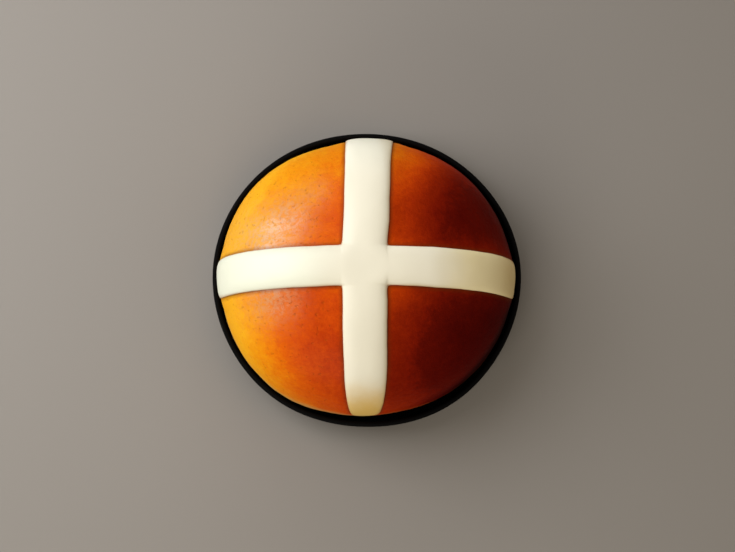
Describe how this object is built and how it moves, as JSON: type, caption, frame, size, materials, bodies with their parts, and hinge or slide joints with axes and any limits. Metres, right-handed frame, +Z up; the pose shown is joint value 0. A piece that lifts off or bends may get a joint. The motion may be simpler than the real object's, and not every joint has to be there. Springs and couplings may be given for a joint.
{
  "type": "hot cross bun",
  "caption": "Round glazed bun with a broad cream cross over its top, baked in a low dark paper case with a rolled rim.",
  "frame": {"origin": "on the ground, under the middle of the paper case", "axes": "+Z up out of the top of the bun; +X to the right of the bun as pictured; the side at the bottom of the picture faces -Y"},
  "size_m": [0.0878, 0.084, 0.0453],
  "materials": {
    "crust": "satin",
    "cross_paste": "satin",
    "case_paper": "matte"
  },
  "bodies": {
    "root": {"bun": "crust", "cross": "cross_paste", "case": "case_paper"}
  },
  "joints": []
}
